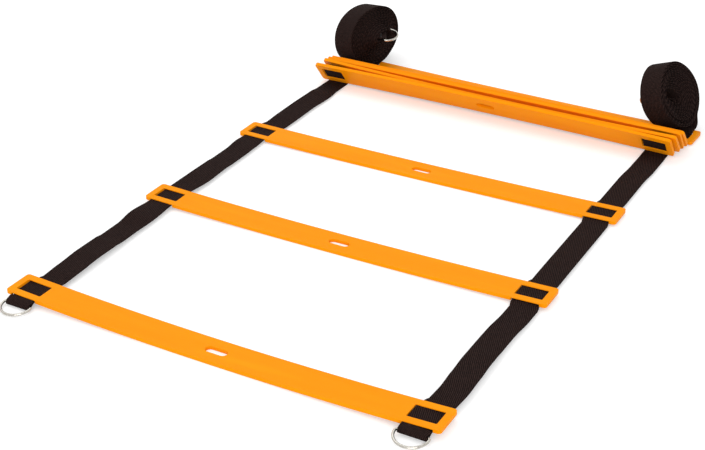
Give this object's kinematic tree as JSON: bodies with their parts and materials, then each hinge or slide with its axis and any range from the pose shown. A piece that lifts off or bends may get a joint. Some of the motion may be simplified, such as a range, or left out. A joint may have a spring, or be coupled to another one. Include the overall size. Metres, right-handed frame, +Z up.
{
  "type": "agility ladder",
  "caption": "Agility ladder: flat moulded rungs threaded on two webbing straps, partly spread, partly bunched, with the spare webbing wound in rolls and D-rings at the ends.",
  "frame": {"origin": "middle of the ladder's footprint, on the floor", "axes": "+X along the rungs to the right, +Y along the straps away from the front rings, +Z up"},
  "size_m": [0.4296, 0.6674, 0.0782],
  "materials": {
    "rung_plastic": "satin moulded orange polypropylene",
    "strap_webbing": "dark woven webbing with fine ribs along it",
    "ring_metal": "bright nickel plated steel wire",
    "seam_thread": "dark sewing thread"
  },
  "bodies": {
    "straps_and_rolls": {"rung_8": "rung_plastic", "left_strap": "strap_webbing", "left_strap_bunch": "strap_webbing", "left_strap_roll": "strap_webbing", "left_end_ring": "ring_metal", "left_front_seam": "seam_thread", "left_end_seam": "seam_thread", "right_strap": "strap_webbing", "right_strap_bunch": "strap_webbing", "right_strap_roll": "strap_webbing", "right_end_ring": "ring_metal", "right_front_seam": "seam_thread", "right_end_seam": "seam_thread"},
    "rung_1": {"rung_1": "rung_plastic"},
    "rung_2": {"rung_2": "rung_plastic"},
    "rung_3": {"rung_3": "rung_plastic"},
    "rung_4": {"rung_4": "rung_plastic"},
    "rung_5": {"rung_5": "rung_plastic"},
    "rung_6": {"rung_6": "rung_plastic"},
    "rung_7": {"rung_7": "rung_plastic"},
    "left_front_ring": {"left_front_ring": "ring_metal"},
    "right_front_ring": {"right_front_ring": "ring_metal"}
  },
  "joints": [
    {"name": "rung_1_slide", "type": "slide", "parent": "straps_and_rolls", "child": "rung_1", "axis": [0, 1, 0], "range_m": [0, 0.083]},
    {"name": "rung_2_slide", "type": "slide", "parent": "straps_and_rolls", "child": "rung_2", "axis": [0, 1, 0], "range_m": [-0.083, 0.066]},
    {"name": "rung_3_slide", "type": "slide", "parent": "straps_and_rolls", "child": "rung_3", "axis": [0, 1, 0], "range_m": [-0.066, 0.108]},
    {"name": "rung_4_lean", "type": "hinge", "parent": "straps_and_rolls", "child": "rung_4", "pos_m": [-0.00175, 0.22379, 0.00179], "axis": [1, 0, 0], "range_deg": [0, 28], "deforming": ["left_strap_bunch", "right_strap_bunch"]},
    {"name": "rung_5_lean", "type": "hinge", "parent": "straps_and_rolls", "child": "rung_5", "pos_m": [-0.00175, 0.23279, 0.00179], "axis": [1, 0, 0], "range_deg": [0, 28]},
    {"name": "rung_6_lean", "type": "hinge", "parent": "straps_and_rolls", "child": "rung_6", "pos_m": [-0.00175, 0.24179, 0.00179], "axis": [1, 0, 0], "range_deg": [0, 28]},
    {"name": "rung_7_lean", "type": "hinge", "parent": "straps_and_rolls", "child": "rung_7", "pos_m": [-0.00175, 0.25079, 0.00179], "axis": [1, 0, 0], "range_deg": [0, 28]},
    {"name": "left_front_ring_swing", "type": "hinge", "parent": "straps_and_rolls", "child": "left_front_ring", "pos_m": [-0.19535, -0.31711, 0.0026], "axis": [-1, 0, 0], "range_deg": [0, 150]},
    {"name": "right_front_ring_swing", "type": "hinge", "parent": "straps_and_rolls", "child": "right_front_ring", "pos_m": [0.18585, -0.31711, 0.0026], "axis": [-1, 0, 0], "range_deg": [0, 150]}
  ],
  "couplings": [
    {"joint": "rung_5_lean", "follows": "rung_4_lean", "ratio": 1},
    {"joint": "rung_6_lean", "follows": "rung_4_lean", "ratio": 1},
    {"joint": "rung_7_lean", "follows": "rung_4_lean", "ratio": 1}
  ]
}
